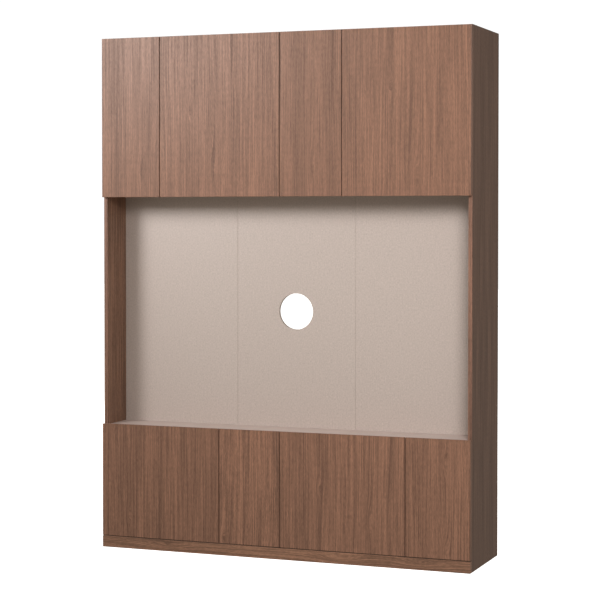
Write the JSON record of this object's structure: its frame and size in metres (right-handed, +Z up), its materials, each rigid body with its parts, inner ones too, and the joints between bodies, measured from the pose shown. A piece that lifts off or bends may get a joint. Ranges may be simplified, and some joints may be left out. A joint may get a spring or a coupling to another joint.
{
  "type": "tv armoire",
  "caption": "Tall walnut TV armoire with handle-free hinged doors above and below an open niche whose linen-look back has a round cable hole.",
  "frame": {"origin": "middle of the footprint on the floor, from the doors' front to the side panels' rear edges", "axes": "+Z up, +X to the right of a person facing the doors, -Y out of the doors towards that person"},
  "size_m": [1.8, 0.46, 2.4],
  "materials": {
    "walnut_doors": "matt walnut laminate, vertical grain, eased edges",
    "walnut_plinth": "matt walnut laminate, horizontal grain",
    "walnut_sides": "matt dark walnut laminate, vertical grain",
    "linen_laminate": "matt beige laminate with a fine linen texture",
    "inner_board": "plain beige melamine board",
    "rear_sheet": "thin lacquered fibreboard",
    "hinge_steel": "nickel-plated pressed steel"
  },
  "bodies": {
    "carcass": {"side_panel_left": "walnut_sides", "side_panel_right": "walnut_sides", "top_panel": "walnut_sides", "niche_ceiling_panel": "linen_laminate", "niche_deck_panel": "linen_laminate", "base_panel": "inner_board", "upper_divider": "inner_board", "lower_divider": "inner_board", "base_stretcher": "inner_board", "plinth_board": "walnut_plinth", "upper_rear_sheet": "rear_sheet", "lower_rear_sheet": "rear_sheet", "wall_rail": "inner_board", "upper_left_shelf": "inner_board", "upper_right_shelf": "inner_board", "lower_left_shelf": "inner_board", "lower_right_shelf": "inner_board", "niche_back_left": "linen_laminate", "niche_back_centre": "linen_laminate", "niche_back_right": "linen_laminate", "upper_left_narrow_bottom_hinge_arm": "hinge_steel", "upper_left_narrow_top_hinge_arm": "hinge_steel", "upper_left_wide_bottom_hinge_arm": "hinge_steel", "upper_left_wide_top_hinge_arm": "hinge_steel", "upper_right_narrow_bottom_hinge_arm": "hinge_steel", "upper_right_narrow_top_hinge_arm": "hinge_steel", "upper_right_wide_bottom_hinge_arm": "hinge_steel", "upper_right_wide_top_hinge_arm": "hinge_steel", "lower_left_wide_bottom_hinge_arm": "hinge_steel", "lower_left_wide_top_hinge_arm": "hinge_steel", "lower_left_narrow_bottom_hinge_arm": "hinge_steel", "lower_left_narrow_top_hinge_arm": "hinge_steel", "lower_right_wide_bottom_hinge_arm": "hinge_steel", "lower_right_wide_top_hinge_arm": "hinge_steel", "lower_right_narrow_bottom_hinge_arm": "hinge_steel", "lower_right_narrow_top_hinge_arm": "hinge_steel"},
    "upper_left_narrow_door": {"upper_left_narrow_door": "walnut_doors", "upper_left_narrow_bottom_hinge_cup": "hinge_steel", "upper_left_narrow_top_hinge_cup": "hinge_steel"},
    "upper_left_wide_door": {"upper_left_wide_door": "walnut_doors", "upper_left_wide_bottom_hinge_cup": "hinge_steel", "upper_left_wide_top_hinge_cup": "hinge_steel"},
    "upper_right_narrow_door": {"upper_right_narrow_door": "walnut_doors", "upper_right_narrow_bottom_hinge_cup": "hinge_steel", "upper_right_narrow_top_hinge_cup": "hinge_steel"},
    "upper_right_wide_door": {"upper_right_wide_door": "walnut_doors", "upper_right_wide_bottom_hinge_cup": "hinge_steel", "upper_right_wide_top_hinge_cup": "hinge_steel"},
    "lower_left_wide_door": {"lower_left_wide_door": "walnut_doors", "lower_left_wide_bottom_hinge_cup": "hinge_steel", "lower_left_wide_top_hinge_cup": "hinge_steel"},
    "lower_left_narrow_door": {"lower_left_narrow_door": "walnut_doors", "lower_left_narrow_bottom_hinge_cup": "hinge_steel", "lower_left_narrow_top_hinge_cup": "hinge_steel"},
    "lower_right_wide_door": {"lower_right_wide_door": "walnut_doors", "lower_right_wide_bottom_hinge_cup": "hinge_steel", "lower_right_wide_top_hinge_cup": "hinge_steel"},
    "lower_right_narrow_door": {"lower_right_narrow_door": "walnut_doors", "lower_right_narrow_bottom_hinge_cup": "hinge_steel", "lower_right_narrow_top_hinge_cup": "hinge_steel"}
  },
  "joints": [
    {"name": "upper_left_narrow_door_swing", "type": "hinge", "parent": "carcass", "child": "upper_left_narrow_door", "pos_m": [-0.9, -0.23, 2.0255], "axis": [0, 0, -1], "range_deg": [0, 105]},
    {"name": "upper_left_wide_door_swing", "type": "hinge", "parent": "carcass", "child": "upper_left_wide_door", "pos_m": [-0.0015, -0.23, 2.0255], "axis": [0, 0, 1], "range_deg": [0, 90]},
    {"name": "upper_right_narrow_door_swing", "type": "hinge", "parent": "carcass", "child": "upper_right_narrow_door", "pos_m": [0.0015, -0.23, 2.0255], "axis": [0, 0, -1], "range_deg": [0, 90]},
    {"name": "upper_right_wide_door_swing", "type": "hinge", "parent": "carcass", "child": "upper_right_wide_door", "pos_m": [0.9, -0.23, 2.0255], "axis": [0, 0, 1], "range_deg": [0, 105]},
    {"name": "lower_left_wide_door_swing", "type": "hinge", "parent": "carcass", "child": "lower_left_wide_door", "pos_m": [-0.9, -0.23, 0.3205], "axis": [0, 0, -1], "range_deg": [0, 105]},
    {"name": "lower_left_narrow_door_swing", "type": "hinge", "parent": "carcass", "child": "lower_left_narrow_door", "pos_m": [-0.0015, -0.23, 0.3205], "axis": [0, 0, 1], "range_deg": [0, 90]},
    {"name": "lower_right_wide_door_swing", "type": "hinge", "parent": "carcass", "child": "lower_right_wide_door", "pos_m": [0.0015, -0.23, 0.3205], "axis": [0, 0, -1], "range_deg": [0, 90]},
    {"name": "lower_right_narrow_door_swing", "type": "hinge", "parent": "carcass", "child": "lower_right_narrow_door", "pos_m": [0.9, -0.23, 0.3205], "axis": [0, 0, 1], "range_deg": [0, 105]}
  ]
}
